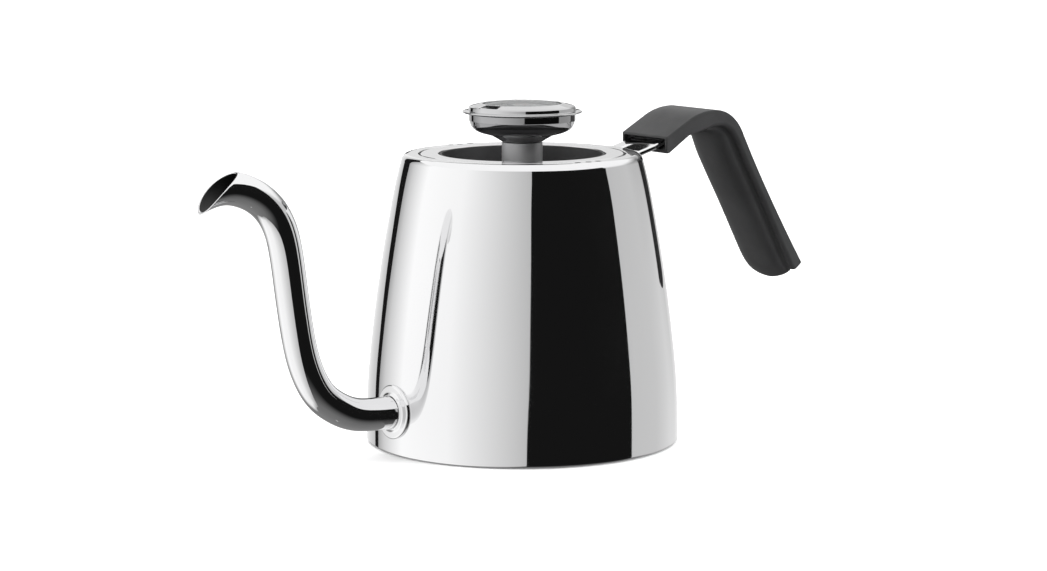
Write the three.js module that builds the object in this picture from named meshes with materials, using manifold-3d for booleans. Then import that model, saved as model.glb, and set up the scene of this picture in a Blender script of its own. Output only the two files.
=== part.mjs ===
// Stovetop gooseneck pour-over kettle with a dial thermometer built into its lid knob.
//
// Millimetres, +Z up. The origin is the centre of the flat underside of the base. The handle
// is towards +X and the spout towards -X. Everything round is turned about the Z axis, and
// the spout and the handle lie in the plane y = 0.

import * as THREE from 'three';
import { mergeVertices } from 'three/addons/utils/BufferGeometryUtils.js';
import Module from 'manifold-3d';

const wasm = await Module();
wasm.setup();

// ---- Driving dimensions ------------------------------------------------------------------

const GAP = 0.3; // left between two pieces that touch
const SHEET = 1.0; // steel wall of the body and the lid
const ROUND_STEPS = 40; // facets around a large turned piece
const KNOB_STEPS = 28; // facets around the knob's pieces
const SMALL_STEPS = 20; // facets around a small turned piece

// Body: a convex cone with a rounded shoulder and a flat collar around the mouth.
const BODY_WALL = [
  [64.9, 1.6], [64.3, 24], [62.3, 45], [58.9, 70.5], [54.6, 95.6], [51.1, 112.2], [50.0, 116.4],
];
const BODY_WALL_STEPS = 10;
const COLLAR_TOP = 119.4;
const COLLAR_OUTER = 46.6;
const MOUTH_RADIUS = 42.4;
const NECK_BOTTOM = 116.6;
const VENT_RADIUS = 1.1;
const VENT_CIRCLE = 45.0;
const VENT_PITCH = 6.5; // degrees between neighbours in a row of three
const VENT_ROWS = [90, 270]; // degrees about Z to the middle vent of each row

// Base: a steel floor, an aluminium heat spreader and a flat steel cap under it.
const BASE_RADIUS = 60.8;
const CAP_THICK = 1.0;
const SPREADER_THICK = 3.5;
const FLOOR_RADIUS = 63.3;

// Lid seat: a ledge just under the collar, with a skirt that the lid plugs into.
const SEAT_TOP = 116.3;
const SEAT_INNER = 38.0;
const SEAT_SKIRT_BOTTOM = 106.0;

// Lid.
const LID_RADIUS = 42.0;
const WELL_RADIUS = 34.2;
const WELL_FLOOR = 111.4;
const LINER_RADIUS = 36.4;
const LINER_BOTTOM = 103.5;

// Knob and thermometer.
const STEM_RADIUS = 8.4;
const STEM_TOP = 124.0;
const SPIGOT_RADIUS = 4.2;
const SPIGOT_BOTTOM = 98.0;
const PROBE_RADIUS = 2.5;
const PROBE_WALL = 0.5;
const PROBE_TOP = 126.4;
const PROBE_BOTTOM = 30.0;
const SPINDLE_RADIUS = 0.5;
const BUSH_RADIUS = 1.7;
const CUP_TOP = 135.7;
const CUP_RADIUS = 22.0;
const KNOB_RIM_RADIUS = 24.8;
const KNOB_LIP = 139.9; // top of the bezel's inner lip
const LENS_RADIUS = 15.9;
const LENS_EDGE = 139.6;
const LENS_APEX = 141.3;
const DIAL_RADIUS = 18.3;
const DIAL_BOTTOM = 134.6;
const DIAL_THICK = 0.6;
const POINTER_LENGTH = 12.5;
const POINTER_TAIL = 4.5;
const HUB_RADIUS = 1.1;
const POINTER_COLD_ANGLE = 135; // degrees, anticlockwise from +Y seen from above

// Spout: a thin-walled tube, swept along a swan's neck.
const SPOUT_RADIUS = 6.7;
const SPOUT_BORE = 5.9;
const SPOUT_ROOT_Z = 18.0;
const SPOUT_STEPS = 38;
const SPOUT_SIDES = 16;
// Distance from the kettle's axis and height, from the root to just past the mouth.
const SPOUT_LINE = [
  [60, 17.6], [74, 18.2], [84.5, 19.6], [92, 23], [98.5, 28], [103.2, 34.8], [107.2, 45], [109.9, 57.9],
  [112, 72], [114.1, 86.5], [116.6, 96.3], [120.6, 103.6], [126.6, 109.2], [133.5, 112.6], [141, 114.1],
  [148.6, 113.1], [155.5, 110.4], [161, 107],
];
const MOUTH_TOP = [136.1, 119.9];
const MOUTH_TIP = [152.2, 104.9];
const MOUTH_BULGE = 1.5; // how far the mouth's rim rises above the chord from top to tip
const FLANGE_RADIUS = 11.0;
const FLANGE_PROUD = 2.0; // how far the flange stands off the wall

// Handle: an outer cover bent over the back of the kettle, with a rounded grip inside it.
const HANDLE_WIDTH = 30.6;
const COVER_ROUND = 1.0;
const GRIP_WIDTH = 28.4;
const GRIP_DEPTH = 5.8; // how far the grip swells from the cover towards the kettle
const GRIP_STATIONS = 12;
const BRACKET_WIDTH = 22.0;
const BRACKET_THICK = 2.4;
const TANG_START = [64.0, 119.6];
const TANG_END = [84.0, 128.8];
const SCREW_STATIONS = [72.0, 79.0]; // x of the two screws that hold the handle to its bracket
const SCREW_RADIUS = 1.6;
const SCREW_HEAD_RADIUS = 3.2;
const SCREW_HEAD_THICK = 1.1;

// ---- Shape helpers -----------------------------------------------------------------------

// A geometry as a welded solid that manifold can cut and join.
function toSolid(geometry) {
  const bare = geometry.index ? geometry.clone() : mergeVertices(geometry);
  bare.deleteAttribute('normal');
  bare.deleteAttribute('uv');
  const welded = mergeVertices(bare, 1e-4);
  const corners = welded.index.array;
  const kept = [];
  for (let i = 0; i < corners.length; i += 3) {
    const [a, b, c] = [corners[i], corners[i + 1], corners[i + 2]];
    if (a !== b && b !== c && c !== a) kept.push(a, b, c);
  }
  const vertProperties = new Float32Array(welded.attributes.position.array);
  if (signedVolume(vertProperties, kept) < 0) kept.reverse();
  const triVerts = new Uint32Array(kept);
  return new wasm.Manifold(new wasm.Mesh({ numProp: 3, vertProperties, triVerts }));
}

function signedVolume(points, corners) {
  const [a, b, c] = [new THREE.Vector3(), new THREE.Vector3(), new THREE.Vector3()];
  let sum = 0;
  for (let i = 0; i < corners.length; i += 3) {
    a.fromArray(points, corners[i] * 3);
    b.fromArray(points, corners[i + 1] * 3);
    c.fromArray(points, corners[i + 2] * 3);
    sum += a.dot(b.cross(c));
  }
  return sum / 6;
}

function toGeometry(solid) {
  const mesh = solid.getMesh();
  const geometry = new THREE.BufferGeometry();
  const positions = new Float32Array(mesh.vertProperties);
  geometry.setAttribute('position', new THREE.BufferAttribute(positions, 3));
  geometry.setIndex(new THREE.BufferAttribute(new Uint32Array(mesh.triVerts), 1));
  geometry.computeVertexNormals();
  return geometry;
}

// A solid turned about Z from [radius, z] points. The outline closes by itself, along the
// axis where both its ends are on the axis.
function turned(outline, steps = ROUND_STEPS) {
  const points = outline.map(([radius, z]) => new THREE.Vector2(radius, z));
  const onAxis = outline[0][0] === 0 && outline[outline.length - 1][0] === 0;
  if (!onAxis) points.push(points[0].clone());
  return toSolid(new THREE.LatheGeometry(points, steps).rotateX(Math.PI / 2));
}

// A plain ring or tube about Z.
function ring(inner, outer, bottom, top, steps = ROUND_STEPS) {
  return turned([[inner, bottom], [outer, bottom], [outer, top], [inner, top]], steps);
}

// A solid cylinder about Z.
function rod(radius, bottom, top, steps = SMALL_STEPS) {
  return turned([[0, bottom], [radius, bottom], [radius, top], [0, top]], steps);
}

// A side view in the XZ plane, given as a THREE.Shape, made into a solid centred on y = 0.
// round is the radius that its long edges are rounded to.
function slab(shape, width, round = 0, roundSteps = 2) {
  const geometry = new THREE.ExtrudeGeometry(shape, {
    depth: width - 2 * round,
    steps: 1,
    curveSegments: 8,
    bevelEnabled: round > 0,
    bevelThickness: round,
    bevelSize: round,
    bevelOffset: -round,
    bevelSegments: roundSteps,
  });
  geometry.translate(0, 0, round - width / 2);
  return toSolid(geometry.rotateX(Math.PI / 2));
}

function polygon(points) {
  return new THREE.Shape(points.map(([x, z]) => new THREE.Vector2(x, z)));
}

// Points spread evenly along a smooth curve through the given points.
function smooth(points, steps) {
  const curve = new THREE.SplineCurve(points.map(([x, z]) => new THREE.Vector2(x, z)));
  return curve.getSpacedPoints(steps).map((point) => [point.x, point.y]);
}

function materialOf(color, roughness, metalness, opacity = 1) {
  const transparent = opacity < 1;
  return new THREE.MeshStandardMaterial({ color, roughness, metalness, opacity, transparent });
}

const STEEL = () => materialOf(0xd4d6d8, 0.06, 1.0);
const ALUMINIUM = () => materialOf(0xb9bcc0, 0.45, 1.0);
const BRASS = () => materialOf(0xb08d4c, 0.35, 1.0);
const BLACK_PLASTIC = () => materialOf(0x1c1c1d, 0.55, 0.0);
const GREY_PLASTIC = () => materialOf(0x383839, 0.6, 0.0);
const SILICONE = () => materialOf(0x3a3b3d, 0.8, 0.0);
const DARK_ENAMEL = () => materialOf(0x2a2a2b, 0.5, 0.0);
const CLEAR_GLASS = () => materialOf(0xdfe6e6, 0.03, 0.0, 0.35);

const kettle = new THREE.Group();

function addPart(name, solid, material) {
  const mesh = new THREE.Mesh(toGeometry(solid), material);
  mesh.name = name;
  kettle.add(mesh);
}

// ---- Body --------------------------------------------------------------------------------

// The wall from its foot to the shoulder, offset inwards by inset.
function wallLine(inset) {
  return smooth(BODY_WALL, BODY_WALL_STEPS).map(([radius, z]) => [radius - inset, z]);
}

// The body's outside with its shoulder and collar, grown by GAP for pieces that meet it.
function bodyEnvelope() {
  const wall = wallLine(-GAP);
  const top = COLLAR_TOP + GAP;
  const shoulder = [[49.3, 118.4], [48.1, 119.4], [COLLAR_OUTER, top]];
  return turned([[0, 0], [wall[0][0], 0], ...wall, ...shoulder, [0, top]]);
}

function spoutHole(radius, from, to) {
  const hole = new THREE.CylinderGeometry(radius, radius, to - from, SPOUT_SIDES);
  hole.rotateZ(Math.PI / 2).translate(-(from + to) / 2, 0, SPOUT_ROOT_Z);
  return toSolid(hole);
}

function steamVents() {
  const vents = [];
  for (const row of VENT_ROWS) {
    for (const place of [-1, 0, 1]) {
      const angle = THREE.MathUtils.degToRad(row + place * VENT_PITCH);
      const vent = new THREE.CylinderGeometry(VENT_RADIUS, VENT_RADIUS, 4 * SHEET, 12);
      vent.rotateX(Math.PI / 2);
      vent.translate(VENT_CIRCLE * Math.cos(angle), VENT_CIRCLE * Math.sin(angle), COLLAR_TOP);
      vents.push(toSolid(vent));
    }
  }
  return vents;
}

function bodyShell() {
  const outline = [
    [BASE_RADIUS + 0.7, 0.3],
    [BODY_WALL[0][0] - 1.2, 0.3],
    [BODY_WALL[0][0] - 0.3, 0.7],
    ...wallLine(0),
    [49.0, 118.2],
    [47.9, 119.1],
    [COLLAR_OUTER, COLLAR_TOP],
    [MOUTH_RADIUS, COLLAR_TOP],
    [MOUTH_RADIUS, NECK_BOTTOM],
    [MOUTH_RADIUS + SHEET, NECK_BOTTOM],
    [MOUTH_RADIUS + SHEET, COLLAR_TOP - SHEET],
    [COLLAR_OUTER - 0.4, COLLAR_TOP - SHEET],
    [48.1, 117.4],
    ...wallLine(SHEET).reverse(),
    [BASE_RADIUS + 0.7, 1.4],
  ];
  let shell = turned(outline);
  shell = shell.subtract(spoutHole(SPOUT_BORE, 55, 70));
  for (const vent of steamVents()) shell = shell.subtract(vent);
  return shell;
}

function lidSeatRing() {
  return turned([
    [SEAT_INNER, SEAT_SKIRT_BOTTOM],
    [SEAT_INNER + SHEET, SEAT_SKIRT_BOTTOM],
    [SEAT_INNER + SHEET, SEAT_TOP - SHEET],
    [MOUTH_RADIUS + SHEET, SEAT_TOP - SHEET],
    [MOUTH_RADIUS + SHEET, SEAT_TOP],
    [SEAT_INNER, SEAT_TOP],
  ]);
}

function addBody() {
  addPart('body_shell', bodyShell(), STEEL());
  addPart('lid_seat_ring', lidSeatRing(), STEEL());
}

function addBase() {
  const spreaderBottom = CAP_THICK + GAP;
  const floorBottom = spreaderBottom + SPREADER_THICK + GAP;
  addPart('base_cap', rod(BASE_RADIUS, 0, CAP_THICK, ROUND_STEPS), STEEL());
  addPart('heat_spreader', rod(BASE_RADIUS, spreaderBottom, floorBottom - GAP, ROUND_STEPS), ALUMINIUM());
  addPart('floor_pan', rod(FLOOR_RADIUS, floorBottom, floorBottom + SHEET, ROUND_STEPS), STEEL());
}

// ---- Spout -------------------------------------------------------------------------------

function spoutSweep(radius, bore) {
  const points = SPOUT_LINE.map(([reach, z]) => new THREE.Vector3(-reach, 0, z));
  const section = new THREE.Shape().absarc(0, 0, radius, 0, 2 * Math.PI);
  section.holes.push(new THREE.Path().absarc(0, 0, bore, 0, 2 * Math.PI, true));
  return toSolid(new THREE.ExtrudeGeometry(section, {
    extrudePath: new THREE.CatmullRomCurve3(points),
    steps: SPOUT_STEPS,
    curveSegments: SPOUT_SIDES / 2,
  }));
}

// Everything past the mouth: a block whose near side is an arc from the mouth's top to its tip.
function pastMouth() {
  const top = new THREE.Vector2(-MOUTH_TOP[0], MOUTH_TOP[1]);
  const tip = new THREE.Vector2(-MOUTH_TIP[0], MOUTH_TIP[1]);
  const chord = tip.clone().sub(top);
  const half = chord.length() / 2;
  const radius = (half * half + MOUTH_BULGE * MOUTH_BULGE) / (2 * MOUTH_BULGE);
  const inward = new THREE.Vector2(-chord.y, chord.x).normalize();
  const centre = top.clone().add(tip).multiplyScalar(0.5).addScaledVector(inward, radius - MOUTH_BULGE);
  const spare = 0.12; // radians that the arc runs on past each end
  const from = Math.atan2(top.y - centre.y, top.x - centre.x) - spare;
  const to = Math.atan2(tip.y - centre.y, tip.x - centre.x) + spare;
  const shape = new THREE.Shape().absarc(centre.x, centre.y, radius, from, to);
  shape.lineTo(-190, 90);
  shape.lineTo(-190, 150);
  shape.lineTo(-125, 150);
  return slab(shape, 40);
}

function spoutFlange() {
  const [inner, outer] = [SPOUT_RADIUS + GAP, FLANGE_RADIUS];
  const wallReach = 63.9; // the wall's radius behind the flange
  const front = wallReach + FLANGE_PROUD;
  const disc = turned([
    [inner, wallReach - 4],
    [outer, wallReach - 4],
    [outer, front - 0.7],
    [outer - 1.2, front],
    [inner, front],
  ], SMALL_STEPS);
  return disc.rotate([0, -90, 0]).translate([0, 0, SPOUT_ROOT_Z]).subtract(bodyEnvelope());
}

function addSpout() {
  const tube = spoutSweep(SPOUT_RADIUS, SPOUT_BORE).subtract(pastMouth()).subtract(bodyEnvelope());
  addPart('spout_tube', tube, STEEL());
  addPart('spout_flange', spoutFlange(), STEEL());
}

// ---- Handle ------------------------------------------------------------------------------

// Side view of the strap from the shoulder up into the handle.
function bracketShape(grow) {
  const half = BRACKET_THICK / 2 + grow;
  const line = [[46.0, 116.9], [52.5, 116.4], TANG_START, TANG_END];
  const above = line.map(([x, z]) => [x, z + half]);
  const below = line.map(([x, z]) => [x, z - half]).reverse();
  return polygon([...above, ...below]);
}

function handleBracket() {
  let strap = slab(bracketShape(0), BRACKET_WIDTH).subtract(bodyEnvelope());
  for (const x of SCREW_STATIONS) strap = strap.subtract(screwHole(x));
  return strap;
}

// The seam between cover and grip, in side view, from under the bend to the lower end.
const SEAM = [
  [90.0, 126.2], [96.5, 126.0], [100.6, 123.2], [104.2, 117.4], [117.0, 94.6], [129.6, 71.6], [135.5, 61.1],
];

function coverShape() {
  const shape = new THREE.Shape();
  shape.moveTo(64.2, 116.2);
  shape.lineTo(64.2, 123.4);
  shape.lineTo(75.2, 129.5);
  shape.quadraticCurveTo(81.8, 133.4, 89.0, 133.6);
  shape.quadraticCurveTo(99.4, 133.6, 105.6, 124.2);
  shape.quadraticCurveTo(117.6, 100.4, 141.0, 63.8);
  for (const [x, z] of [...SEAM].reverse()) shape.lineTo(x, z);
  shape.lineTo(76.6, 123.4);
  shape.lineTo(66.0, 116.6);
  return shape;
}

// The grip is lofted along the seam. Each section is about half an ellipse that swells from
// the seam towards the kettle, shallow under the bend, full along the straight part and a
// little shallower again at the lower end.
function handleGrip() {
  const seam = new THREE.SplineCurve(SEAM.map(([x, z]) => new THREE.Vector2(x, z)));
  const sections = [];
  for (let i = 0; i <= GRIP_STATIONS; i += 1) {
    const t = i / GRIP_STATIONS;
    const [at, along] = [seam.getPointAt(t), seam.getTangentAt(t)];
    const inward = new THREE.Vector2(along.y, -along.x);
    const swell = THREE.MathUtils.smoothstep(t, -0.12, 0.3);
    const taper = 1 - 0.16 * THREE.MathUtils.smoothstep(t, 0.9, 1);
    const halfWidth = (GRIP_WIDTH / 2) * (0.8 + 0.2 * swell);
    sections.push(gripSection(at, inward, GRIP_DEPTH * swell * taper, halfWidth));
  }
  return loft(sections);
}

function gripSection(at, inward, depth, halfWidth) {
  const [points, steps] = [[], 10];
  for (let i = 0; i <= steps; i += 1) {
    const angle = (Math.PI * i) / steps;
    const reach = GAP + depth * Math.sin(angle) ** 0.8;
    const side = halfWidth * Math.cos(angle);
    points.push(new THREE.Vector3(at.x + inward.x * reach, side, at.y + inward.y * reach));
  }
  return points;
}

// The pocket in the cover's front end that the strap comes out of.
function frontPocket() {
  const [back, tall] = [66.8, 4.3];
  return slab(polygon([[63, 117.3], [back, 119.1], [back, 119.1 + tall], [63, 122.2]]), HANDLE_WIDTH - 2.6);
}

// A closed skin through sections of equal count, with a flat end on the first and the last.
function loft(sections) {
  const count = sections[0].length;
  const positions = sections.flat().flatMap((point) => [point.x, point.y, point.z]);
  const corners = [];
  for (let row = 0; row + 1 < sections.length; row += 1) {
    for (let i = 0; i < count; i += 1) {
      const [a, b] = [row * count + i, row * count + ((i + 1) % count)];
      corners.push(a, b, b + count, a, b + count, a + count);
    }
  }
  const last = (sections.length - 1) * count;
  for (let i = 1; i + 1 < count; i += 1) {
    corners.push(0, i + 1, i);
    corners.push(last, last + i, last + i + 1);
  }
  const geometry = new THREE.BufferGeometry();
  geometry.setAttribute('position', new THREE.BufferAttribute(new Float32Array(positions), 3));
  geometry.setIndex(corners);
  return toSolid(geometry);
}

// The slope of the tang inside the handle, and the height of its middle at x.
function tangSlope() {
  return (TANG_END[1] - TANG_START[1]) / (TANG_END[0] - TANG_START[0]);
}

function tangHeight(x) {
  return TANG_START[1] + (x - TANG_START[0]) * tangSlope();
}

// A rod square to the tang at x. It runs from low to high, measured from the tang's middle.
function acrossTang(x, radius, low, high) {
  const shank = new THREE.CylinderGeometry(radius, radius, high - low, 12).rotateX(Math.PI / 2);
  shank.translate(0, 0, (low + high) / 2);
  shank.rotateY(-Math.atan(tangSlope())).translate(x, 0, tangHeight(x));
  return toSolid(shank);
}

function screwHole(x) {
  return acrossTang(x, SCREW_RADIUS + GAP, -5.0, 3.0);
}

function handleCover() {
  let cover = slab(coverShape(), HANDLE_WIDTH, COVER_ROUND, 1);
  cover = cover.subtract(slab(bracketShape(GAP), BRACKET_WIDTH + 2 * GAP)).subtract(frontPocket());
  for (const x of SCREW_STATIONS) {
    cover = cover.subtract(screwHole(x));
    cover = cover.subtract(acrossTang(x, SCREW_HEAD_RADIUS + GAP, -9.0, 0));
  }
  return cover;
}

function handleScrew(x) {
  const headTop = -BRACKET_THICK / 2 - GAP;
  const shank = acrossTang(x, SCREW_RADIUS, headTop - 0.5, 2.6);
  return shank.add(acrossTang(x, SCREW_HEAD_RADIUS, headTop - SCREW_HEAD_THICK, headTop));
}

function addHandle() {
  addPart('handle_bracket', handleBracket(), STEEL());
  addPart('handle_cover', handleCover(), BLACK_PLASTIC());
  addPart('handle_grip', handleGrip(), BLACK_PLASTIC());
  addPart('handle_screw_front', handleScrew(SCREW_STATIONS[0]), STEEL());
  addPart('handle_screw_rear', handleScrew(SCREW_STATIONS[1]), STEEL());
}

// ---- Lid ---------------------------------------------------------------------------------

function lidPlate() {
  return turned([
    [WELL_RADIUS + GAP, COLLAR_TOP],
    [LID_RADIUS - 0.3, COLLAR_TOP],
    [LID_RADIUS, COLLAR_TOP - 0.3],
    [LID_RADIUS, SEAT_TOP + GAP],
    [LID_RADIUS - SHEET, SEAT_TOP + GAP],
    [LID_RADIUS - SHEET, COLLAR_TOP - SHEET],
    [WELL_RADIUS + GAP, COLLAR_TOP - SHEET],
  ]);
}

function lidWell() {
  const hole = SPIGOT_RADIUS + GAP;
  return turned([
    [hole, WELL_FLOOR - 1.2],
    [WELL_RADIUS - 1.4, WELL_FLOOR - 1.2],
    [WELL_RADIUS, WELL_FLOOR + 0.6],
    [WELL_RADIUS, COLLAR_TOP - 0.2],
    [WELL_RADIUS - 1.0, COLLAR_TOP - 0.2],
    [WELL_RADIUS - 2.0, WELL_FLOOR],
    [hole, WELL_FLOOR],
  ]);
}

function lidLiner() {
  const hole = SPIGOT_RADIUS + GAP;
  return turned([
    [hole, LINER_BOTTOM],
    [LINER_RADIUS - 0.8, LINER_BOTTOM],
    [LINER_RADIUS, LINER_BOTTOM + 0.8],
    [LINER_RADIUS, COLLAR_TOP - SHEET - GAP],
    [LINER_RADIUS - SHEET, COLLAR_TOP - SHEET - GAP],
    [LINER_RADIUS - SHEET, LINER_BOTTOM + SHEET],
    [hole, LINER_BOTTOM + SHEET],
  ]);
}

// A band around the lid's liner with two soft lips that press on the seat's skirt.
function lidGasket() {
  const [inner, outer, root] = [LINER_RADIUS + GAP, SEAT_INNER - GAP, LINER_RADIUS + GAP + 0.4];
  return turned([
    [inner, 107.0], [outer, 107.4], [outer, 108.2], [root, 108.8],
    [root, 110.2], [outer, 110.8], [outer, 111.6], [inner, 112.4],
  ]);
}

function addLid() {
  addPart('lid_plate', lidPlate(), STEEL());
  addPart('lid_well', lidWell(), GREY_PLASTIC());
  addPart('lid_liner', lidLiner(), STEEL());
  addPart('lid_gasket', lidGasket(), SILICONE());
}

// ---- Knob and thermometer ----------------------------------------------------------------

function knobStem() {
  const bore = PROBE_RADIUS + GAP;
  return turned([
    [bore, SPIGOT_BOTTOM],
    [SPIGOT_RADIUS - 0.4, SPIGOT_BOTTOM],
    [SPIGOT_RADIUS, SPIGOT_BOTTOM + 0.4],
    [SPIGOT_RADIUS, WELL_FLOOR + GAP],
    [STEM_RADIUS, WELL_FLOOR + GAP],
    [STEM_RADIUS, STEM_TOP],
    [bore, STEM_TOP],
  ], KNOB_STEPS);
}

function hexNut(acrossFlats, hole, bottom, top) {
  const prism = rod(acrossFlats / Math.sqrt(3), bottom, top, 6);
  return prism.subtract(rod(hole, bottom - 1, top + 1));
}

// The cup's wall is thick at the top, with a ledge inside that the dial rests on.
function knobCup() {
  const bore = PROBE_RADIUS + GAP;
  const floor = STEM_TOP + GAP;
  const ledge = DIAL_BOTTOM - GAP;
  return turned([
    [bore, floor], [8.6, floor], [13.5, 126.9], [16.5, 127.7], [18.6, 128.5], [20.0, 129.4], [20.9, 130.4],
    [21.5, 131.8], [CUP_RADIUS, 133.0], [CUP_RADIUS, CUP_TOP], [DIAL_RADIUS + 0.5, CUP_TOP],
    [DIAL_RADIUS + 0.5, ledge], [17.2, ledge], [17.2, 132.6], [19.4, 131.4], [18.4, 130.1], [15.9, 129.0],
    [12.8, 128.2], [8.2, floor + SHEET], [bore, floor + SHEET],
  ], KNOB_STEPS);
}

// The bezel's rim stands out around the cup, and its top rises inwards to the lip around the lens.
function knobBezel() {
  const [seat, bottom, rim] = [DIAL_RADIUS + 0.5, CUP_TOP + GAP, KNOB_RIM_RADIUS];
  return turned([
    [seat, bottom], [CUP_RADIUS + 0.2, bottom], [rim - 0.5, bottom + 0.3], [rim, bottom + 0.9],
    [rim, bottom + 2.2], [rim - 0.6, bottom + 2.8], [rim - 2.2, bottom + 2.4], [17.6, KNOB_LIP],
    [LENS_RADIUS + GAP, KNOB_LIP], [LENS_RADIUS + GAP, KNOB_LIP - 1.0], [seat, KNOB_LIP - 1.0],
  ], KNOB_STEPS);
}

// Heights of a shallow dome that falls from apex on the axis to edge at the lens's radius.
function dome(apex, edge, radius, steps) {
  const drop = apex - edge;
  const sphere = (radius * radius + drop * drop) / (2 * drop);
  const line = [];
  for (let i = 0; i <= steps; i += 1) {
    const reach = (radius * i) / steps;
    line.push([reach, apex - sphere + Math.sqrt(sphere * sphere - reach * reach)]);
  }
  return line;
}

function knobLens() {
  const thick = 1.6;
  const outside = dome(LENS_APEX, LENS_EDGE, LENS_RADIUS, 5);
  const inside = dome(LENS_APEX - thick, LENS_EDGE - thick, LENS_RADIUS - 0.6, 5).reverse();
  const [flange, top] = [DIAL_RADIUS + 0.2, KNOB_LIP - 1.0 - GAP];
  const shelf = [[LENS_RADIUS, top], [flange, top], [flange, top - 1.0]];
  return turned([...outside, ...shelf, ...inside], KNOB_STEPS);
}

function addKnob() {
  addPart('knob_stem', knobStem(), STEEL());
  addPart('knob_cup', knobCup(), STEEL());
  addPart('knob_bezel', knobBezel(), STEEL());
  addPart('knob_lens', knobLens(), CLEAR_GLASS());
  addPart('lens_gasket', ring(16.4, DIAL_RADIUS + 0.2, 136.7, 137.3, KNOB_STEPS), SILICONE());
  addPart('stem_washer', ring(SPIGOT_RADIUS + GAP, 9.0, 102.4, LINER_BOTTOM - GAP, SMALL_STEPS), SILICONE());
  addPart('stem_nut', hexNut(13.0, SPIGOT_RADIUS + GAP, 98.9, 102.1), STEEL());
}

function probeTube() {
  const [outer, inner] = [PROBE_RADIUS, PROBE_RADIUS - PROBE_WALL];
  return turned([
    [0, PROBE_BOTTOM],
    [1.5, PROBE_BOTTOM],
    [outer, PROBE_BOTTOM + 1.0],
    [outer, PROBE_TOP],
    [inner, PROBE_TOP],
    [inner, PROBE_BOTTOM + 2.0],
    [0, PROBE_BOTTOM + 2.0],
  ], 16);
}

// A flat strip wound around the spindle, which turns it as the strip warms.
function bimetalCoil() {
  const [turns, pitch, radius, bottom, steps] = [6, 4.6, 1.35, 36.0, 60];
  const points = [];
  for (let i = 0; i <= steps; i += 1) {
    const angle = (2 * Math.PI * turns * i) / steps;
    const z = bottom + (pitch * turns * i) / steps;
    points.push(new THREE.Vector3(radius * Math.cos(angle), radius * Math.sin(angle), z));
  }
  const section = new THREE.Shape().absarc(0, 0, 0.3, 0, 2 * Math.PI);
  return toSolid(new THREE.ExtrudeGeometry(section, {
    extrudePath: new THREE.CatmullRomCurve3(points),
    steps,
    curveSegments: 3,
  }));
}

function pointerShape() {
  return polygon([
    [-0.9, -POINTER_TAIL], [0.9, -POINTER_TAIL], [0.7, 0],
    [0.2, POINTER_LENGTH], [-0.2, POINTER_LENGTH], [-0.7, 0],
  ]);
}

function pointer() {
  const thick = 0.4;
  const bottom = DIAL_BOTTOM + DIAL_THICK + 0.5;
  const blade = new THREE.ExtrudeGeometry(pointerShape(), { depth: thick, bevelEnabled: false });
  blade.rotateZ(THREE.MathUtils.degToRad(POINTER_COLD_ANGLE)).translate(0, 0, bottom);
  const eye = rod(HUB_RADIUS + GAP + 1.0, bottom, bottom + thick, 16);
  return toSolid(blade).add(eye).subtract(rod(HUB_RADIUS + GAP, bottom - 1, bottom + 1, 16));
}

function dialFace() {
  return ring(SPINDLE_RADIUS + GAP, DIAL_RADIUS, DIAL_BOTTOM, DIAL_BOTTOM + DIAL_THICK, KNOB_STEPS);
}

function addThermometer() {
  const spindleTop = DIAL_BOTTOM + DIAL_THICK + 0.2;
  addPart('probe_tube', probeTube(), STEEL());
  addPart('bimetal_coil', bimetalCoil(), STEEL());
  addPart('spindle_bush', ring(SPINDLE_RADIUS + GAP, BUSH_RADIUS, 118.0, 124.0, 16), BRASS());
  addPart('dial_face', dialFace(), DARK_ENAMEL());
  addPart('pointer_spindle', rod(SPINDLE_RADIUS, 40.0, spindleTop, 10), STEEL());
  addPart('pointer_hub', rod(HUB_RADIUS, spindleTop + 0.1, spindleTop + 1.2, 16), BRASS());
  addPart('pointer', pointer(), materialOf(0x9c1f1a, 0.5, 0.0));
}

addBody();
addBase();
addSpout();
addHandle();
addLid();
addKnob();
addThermometer();

export default kettle;
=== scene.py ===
"""The looks of a stovetop gooseneck kettle with a dial thermometer in its lid knob.

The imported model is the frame: +Z is up, the origin is the centre of the base, the handle is
towards +X and the spout towards -X. Outlines are in millimetres, and add_piece() turns them
into metres.
"""
import math

import bmesh
import bpy
import numpy as np
from mathutils import Euler, Matrix, Vector


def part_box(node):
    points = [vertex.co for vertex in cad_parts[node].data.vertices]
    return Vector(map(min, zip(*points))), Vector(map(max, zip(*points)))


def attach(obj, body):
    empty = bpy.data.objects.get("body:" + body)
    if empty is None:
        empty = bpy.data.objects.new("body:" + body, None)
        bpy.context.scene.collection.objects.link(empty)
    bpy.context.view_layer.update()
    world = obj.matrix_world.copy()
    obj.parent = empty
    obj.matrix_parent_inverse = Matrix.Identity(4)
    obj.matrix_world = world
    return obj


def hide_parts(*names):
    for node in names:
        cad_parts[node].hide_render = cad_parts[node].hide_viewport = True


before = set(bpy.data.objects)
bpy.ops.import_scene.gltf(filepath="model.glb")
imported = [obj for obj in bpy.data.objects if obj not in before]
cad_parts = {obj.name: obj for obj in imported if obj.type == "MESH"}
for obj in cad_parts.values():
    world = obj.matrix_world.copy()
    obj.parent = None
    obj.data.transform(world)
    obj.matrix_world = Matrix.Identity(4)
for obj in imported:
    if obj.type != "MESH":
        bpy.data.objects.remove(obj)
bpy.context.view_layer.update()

MM = 0.001
CREASE = math.radians(35)  # edges that fold more than this stay sharp
HOLD = 0.08  # from the end of an arc to the point that holds the flat beside it
GAP = 0.3  # left between two pieces that touch
SHEET = 1.0  # steel wall of the body and the lid
ROUND_STEPS = 160  # facets around a large turned piece
KNOB_STEPS = 112
SMALL_STEPS = 48


# ---- Camera ----

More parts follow.
